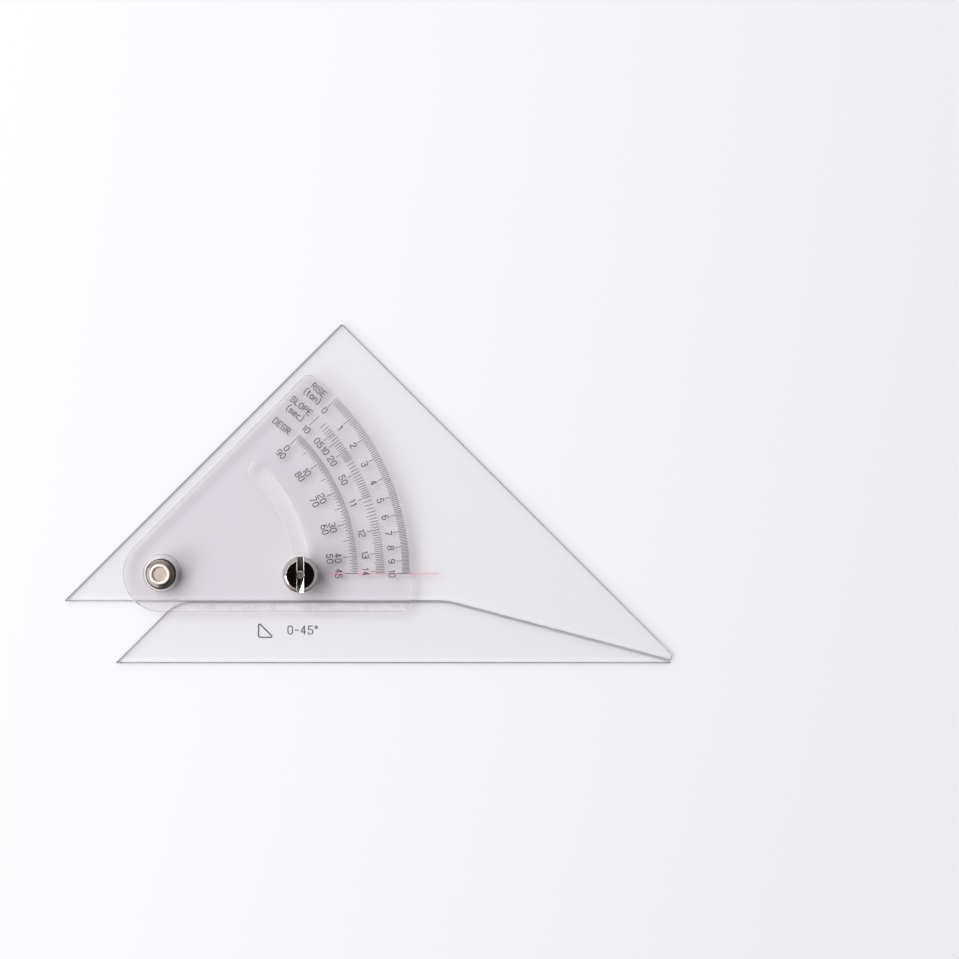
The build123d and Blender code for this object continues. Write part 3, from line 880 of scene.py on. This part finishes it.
def makeKnob():
    # A nut turned about the clamp axis. Its grip swells between two lands by the size of a cosine of the
    # angle, once for each tooth. A bar with a flared top cuts the coin slot across its face, and its floor
    # rises to each end by the square of Y over twice the saw's radius.
    k = knob
    shell = newShell()
    grip = k["radius"] - k["toothDepth"]
    low, high = knobBottom + k["footChamfer"] + k["land"], knobTop - k["crownHeight"] - k["land"]
    section = [(k["bore"], knobBottom, 0.04), (k["radius"] - k["footChamfer"], knobBottom, 0.05),
               (k["radius"], knobBottom + k["footChamfer"], 0.04), (k["radius"], low, 0.03),
               (grip, low + k["toothDepth"], 0.03), (grip, high - k["toothDepth"], 0.03),
               (k["radius"], high, 0.03), (k["radius"], knobTop - k["crownHeight"], 0.05),
               (k["face"], knobTop, 0.05),
               (k["bore"], knobTop, 0.04)]
    path = circlePath(0, clampX, k["teeth"] * 6)
    carry(shell, path, roundCorners(section, stepAngle=25), closed=True)
    points = shell["points"][0]
    offset = points[:, :2] - (clampX, 0)
    radius = np.linalg.norm(offset, axis=1)
    gripping = ((radius < grip + 0.002) & (radius > grip - 0.02)
                & (points[:, 2] > low) & (points[:, 2] < high))
    turn = np.arctan2(offset[:, 1], offset[:, 0])
    swell = np.where(gripping, k["toothDepth"] * np.abs(np.cos(turn * k["teeth"] / 2)), 0)
    points[:, :2] += offset / radius[:, None] * swell[:, None]
    body = plainObject("knobBody", shell)

    half, floor = k["slotWidth"] / 2, knobTop - k["slotDepth"]
    mouth, flareLow, flareHigh = half + 2 * k["slotFlare"], knobTop - k["slotFlare"], knobTop + k["slotFlare"]
    bar = [(-half, floor, k["slotRound"]), (half, floor, k["slotRound"]), (half, flareLow, 0.03),
           (mouth, flareHigh, 0.03), (-mouth, flareHigh, 0.03), (-half, flareLow, 0.03)]
    outline = roundCorners(bar, stepAngle=18)[0]
    rows, count = k["stations"], len(outline)
    stations = np.linspace(-1, 1, rows) * (k["radius"] + 0.5)
    last = (rows - 1) * count
    grid = np.empty((rows, count, 3))
    grid[..., 0] = outline[None, :, 0] + clampX
    grid[..., 1] = stations[:, None]
    low = outline[:, 1] < floor + 2 * k["slotRound"]
    grid[..., 2] = outline[None, :, 1] + low[None] * stations[:, None] ** 2 / (2 * k["sawRadius"])
    shell = newShell()
    addPoints(shell, grid, np.zeros_like(grid))
    addFaces(shell, gridFaces(0, rows, count, False, True)[:, ::-1])
    shell["faces"] += [list(range(count)), list(range(last + count - 1, last - 1, -1))]
    shell["slots"] += [0, 0]
    cutter = plainObject("slotCutter", shell)

    cut = body.modifiers.new("slot", "BOOLEAN")
    cut.operation, cut.solver, cut.object = "DIFFERENCE", "EXACT", cutter
    bpy.context.view_layer.update()
    mesh = bpy.data.meshes.new_from_object(body.evaluated_get(bpy.context.evaluated_depsgraph_get()))
    for spare in (body, cutter):
        bpy.data.objects.remove(spare)
    mesh.name = "clampKnob"
    mesh.materials.clear()
    mesh.materials.append(knobNickel)
    mesh.polygons.foreach_set("material_index", np.zeros(len(mesh.polygons), np.int32))
    mesh.set_sharp_from_angle(angle=math.radians(28))
    facing = np.empty(len(mesh.polygons) * 3, np.float32)
    mesh.polygons.foreach_get("normal", facing)
    mesh.polygons.foreach_set("use_smooth", np.abs(facing.reshape(-1, 3)[:, 2]) < 0.9995)
    placePiece("clampKnob", mesh, "knob", ["clamp_knob"])


def plainObject(name, shell):
    # The shell in metres, with its faces turned outwards, ready for a boolean.
    mesh = bpy.data.meshes.new(name)
    mesh.from_pydata((np.concatenate(shell["points"]) * mm).tolist(), [], shell["faces"])
    shape = bmesh.new()
    shape.from_mesh(mesh)
    bmesh.ops.recalc_face_normals(shape, faces=shape.faces)
    shape.to_mesh(mesh)
    shape.free()
    made = bpy.data.objects.new(name, mesh)
    bpy.context.scene.collection.objects.link(made)
    return made


makeCollar()
makeKnob()
print("collar and knob made")

# the pieces that keep their CAD shape take their own finishes
for name, material in (("cement_film", wetted), ("pivot_spacer", film), ("clamp_spacer", film),
                       ("pivot_washer", film), ("index_line", redInk), ("pivot_post", postMetal),
                       ("clamp_washer", knobNickel), ("clamp_screw", screwMetal)):
    nodes[name].data.materials.clear()
    nodes[name].data.materials.append(material)

studio = dict(
    floorDrop=0.08,        # mm of air under the object
    floorColour=(0.9, 0.9, 0.91),
    lamps=(                # direction, metres away, metres wide, watts
        ((-1, 0.6, 1.75), 2.1, 1.6, 36),
        ((-1, -0.45, 0.8), 2.0, 1.0, 13),
    ),
    farSide=((0, (0.05, 0.045, 0.045)), (0.2, (0.16, 0.15, 0.15)), (0.4, (0.66, 0.66, 0.7)),
             (0.7, (0.5, 0.5, 0.53)), (0.93, (0.04, 0.035, 0.035)), (0.985, (0.008, 0.003, 0.002))),
    lampSide=((0, (0.95, 0.95, 0.98)), (0.6, (0.85, 0.86, 0.9)), (0.85, (0.7, 0.7, 0.72)),
              (0.94, (0.4, 0.38, 0.38)), (0.97, (0.05, 0.03, 0.025)), (0.985, (0.008, 0.003, 0.002))),
    cameraAt=(0.0596, 0.0297, 0.4247),
    lens=50,
    shift=0.135,           # the picture's middle lies right of the point below the camera
    floorHalf=2.0,         # metres
    lampsAim=(0.08, 0.02, 0),
    lampWay=(-0.8, 0.6, 0),
    blend=(-0.35, 0.5),    # where the far side's sky turns into the lamp side's
    skyStrength=0.55,
)


def makeFloor():
    material, tree, paper = newMaterial("paper")[:3]
    tooth = addNode(tree, "ShaderNodeTexNoise", Scale=3, Detail=4)
    tree.links.new(objectPattern(tree, (1, 1, 1)), tooth.inputs["Vector"])
    tone = addNode(tree, "ShaderNodeMix", data_type="RGBA")
    colour = studio["floorColour"]
    tone.inputs[6].default_value = (*[c * 0.99 for c in colour], 1)
    tone.inputs[7].default_value = (*colour, 1)
    tree.links.new(tooth.outputs["Fac"], tone.inputs["Factor"])
    tree.links.new(tone.outputs[2], paper.inputs["Base Color"])
    paper.inputs["Roughness"].default_value = 1
    paper.inputs["Specular IOR Level"].default_value = 0
    mesh = bpy.data.meshes.new("floor")
    half, level = studio["floorHalf"], -studio["floorDrop"] * mm
    corners = [(-half, -half, level), (half, -half, level), (half, half, level), (-half, half, level)]
    mesh.from_pydata(corners, [], [(0, 1, 2, 3)])
    mesh.materials.append(material)
    floor = bpy.data.objects.new("floor", mesh)
    bpy.context.scene.collection.objects.link(floor)


def makeLight():
    for number, (direction, away, size, power) in enumerate(studio["lamps"]):
        data = bpy.data.lights.new(f"softLamp{number}", "AREA")
        data.shape = "SQUARE"
        data.size = size
        data.energy = power
        lamp = bpy.data.objects.new(f"softLamp{number}", data)
        toward = Vector(direction).normalized()
        lamp.location = toward * away + Vector(studio["lampsAim"])
        lamp.rotation_euler = toward.to_track_quat("Z", "Y").to_euler()
        bpy.context.scene.collection.objects.link(lamp)
    world = bpy.data.worlds.new("studio")
    world.use_nodes = True
    tree = world.node_tree
    place = addNode(tree, "ShaderNodeTexCoord")
    split = addNode(tree, "ShaderNodeSeparateXYZ")
    tree.links.new(place.outputs["Generated"], split.inputs[0])
    sides = []
    for stops in (studio["farSide"], studio["lampSide"]):
        ramp = addNode(tree, "ShaderNodeValToRGB")
        elements = ramp.color_ramp.elements
        for position, colour in stops[1:-1]:
            elements.new(position)
        for element, (position, colour) in zip(elements, stops):
            element.position, element.color = position, (*colour, 1)
        tree.links.new(split.outputs["Z"], ramp.inputs["Fac"])
        sides.append(ramp.outputs["Color"])
    toward = addNode(tree, "ShaderNodeVectorMath", operation="DOT_PRODUCT")
    toward.inputs[1].default_value = studio["lampWay"]
    share = addNode(tree, "ShaderNodeMapRange", interpolation_type="SMOOTHSTEP")
    share.inputs["From Min"].default_value, share.inputs["From Max"].default_value = studio["blend"]
    mix = addNode(tree, "ShaderNodeMix", data_type="RGBA")
    tree.links.new(place.outputs["Generated"], toward.inputs[0])
    tree.links.new(toward.outputs["Value"], share.inputs["Value"])
    tree.links.new(share.outputs["Result"], mix.inputs["Factor"])
    tree.links.new(sides[0], mix.inputs[6])
    tree.links.new(sides[1], mix.inputs[7])
    background = tree.nodes["Background"]
    tree.links.new(mix.outputs[2], background.inputs["Color"])
    background.inputs["Strength"].default_value = studio["skyStrength"]
    bpy.context.scene.world = world


def makeCamera():
    data = bpy.data.cameras.new("camera")
    data.lens = studio["lens"]
    data.sensor_width = 36
    data.clip_start = 0.01
    camera = bpy.data.objects.new("camera", data)
    camera.location = studio["cameraAt"]
    data.shift_x = studio["shift"]
    bpy.context.scene.collection.objects.link(camera)
    bpy.context.scene.camera = camera


makeFloor()
makeLight()
makeCamera()
bpy.context.scene.view_settings.view_transform = "Standard"
bpy.context.scene.cycles.transparent_max_bounces = 32
print("stage made")
